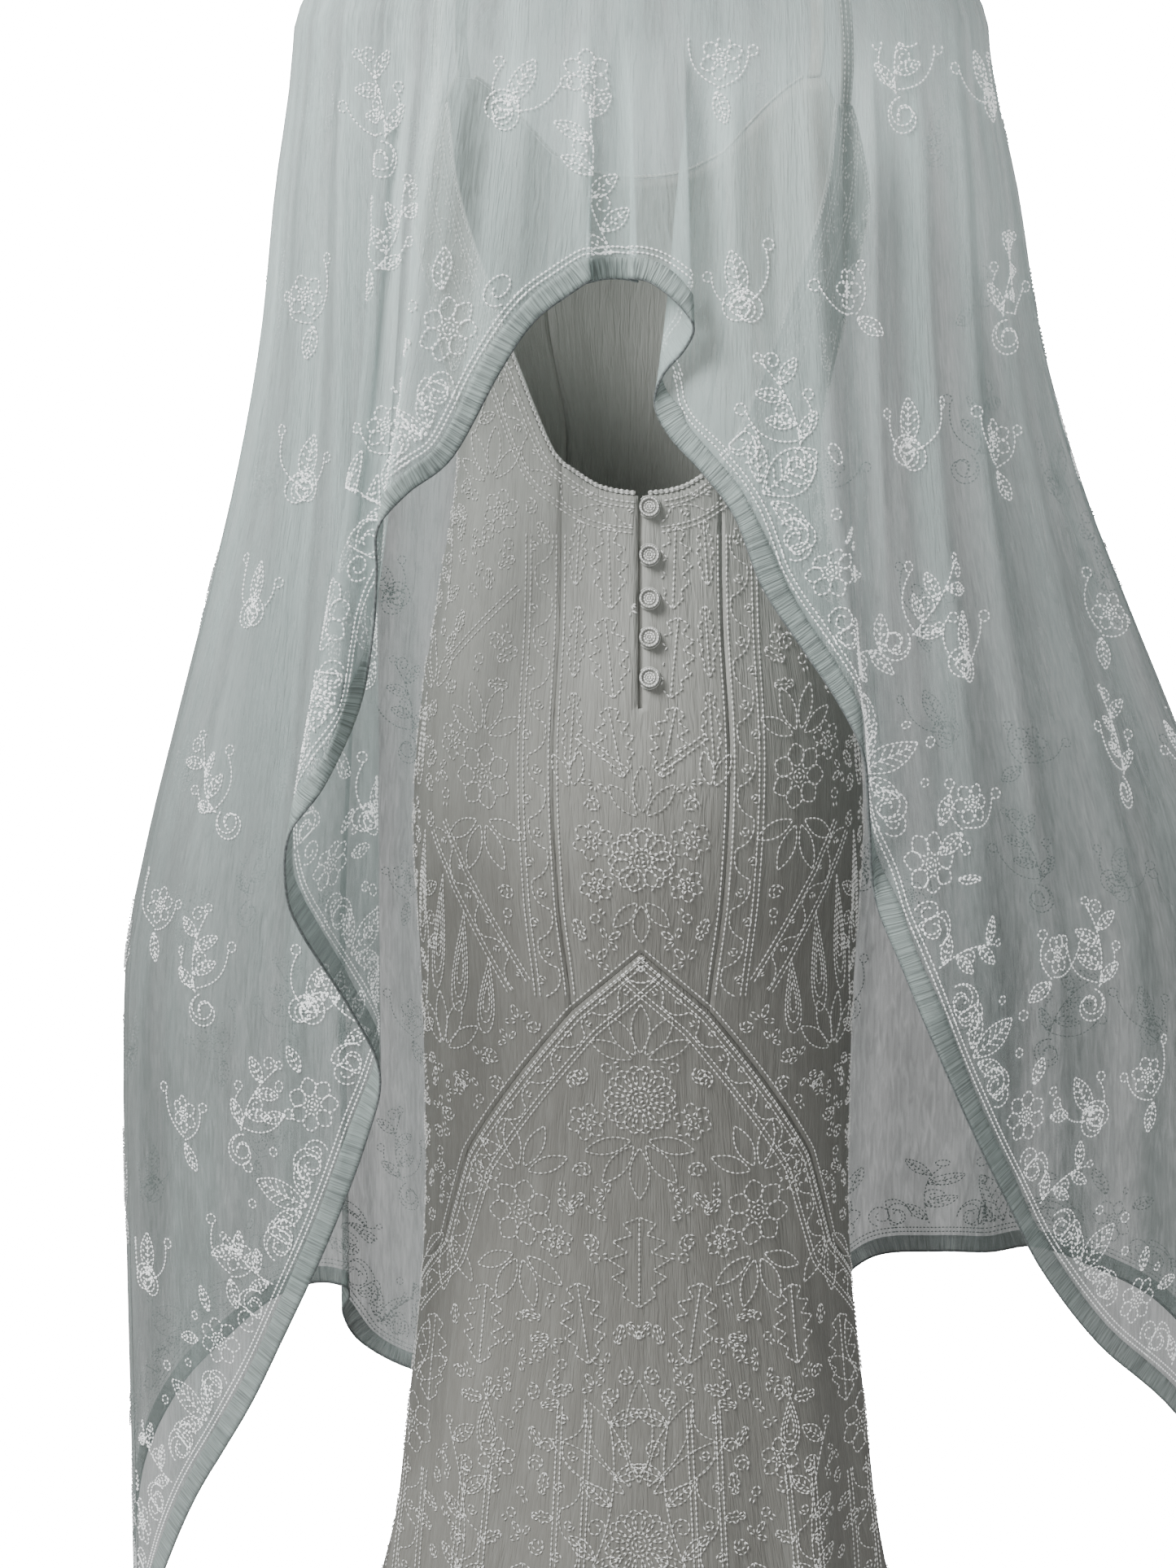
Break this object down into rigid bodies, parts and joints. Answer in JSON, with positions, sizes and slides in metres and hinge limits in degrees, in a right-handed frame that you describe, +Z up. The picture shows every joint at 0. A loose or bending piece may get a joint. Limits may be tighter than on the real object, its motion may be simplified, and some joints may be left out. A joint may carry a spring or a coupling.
{
  "type": "wedding dress",
  "caption": "Beaded bias-cut wedding gown, low open back with covered buttons, under a sheer seafoam chiffon cape with a high arched back hem, in worn form.",
  "frame": {"origin": "midway between the shoulders, level with the underside of the straps, where the wearer's shoulders carry the dress", "axes": "+Z up, -Y towards the back of the dress, which the picture shows, +Y towards its front, +X to the right as the back is seen"},
  "size_m": [0.9182, 0.4803, 1.4738],
  "materials": {
    "gown_chiffon": "crinkled silk chiffon over a plain ground, ivory to silver grey, with rows of bugle beads",
    "cape_chiffon": "sheer crinkled chiffon, pale seafoam, with beaded sprigs and border",
    "hem_band": "doubled chiffon band, finely gathered, with a dark overlocked edge",
    "button_cover": "chiffon-covered button with a beaded centre",
    "corded_edge": "narrow corded edge closely covered with beads"
  },
  "bodies": {
    "root": {"back_centre_panel": "gown_chiffon", "back_left_panel": "gown_chiffon", "back_right_panel": "gown_chiffon", "front_centre_panel": "gown_chiffon", "front_left_panel": "gown_chiffon", "front_right_panel": "gown_chiffon", "skirt_back": "gown_chiffon", "skirt_front": "gown_chiffon", "strap_left": "gown_chiffon", "strap_right": "gown_chiffon", "placket_underlap": "gown_chiffon", "neck_cord_back_left": "corded_edge", "neck_cord_back_right": "corded_edge", "neck_cord_front": "corded_edge", "button_1": "button_cover", "button_2": "button_cover", "button_3": "button_cover", "button_4": "button_cover", "button_5": "button_cover", "cape_back": "cape_chiffon", "cape_front": "cape_chiffon", "hem_band_back": "hem_band", "hem_band_front": "hem_band"}
  },
  "joints": []
}
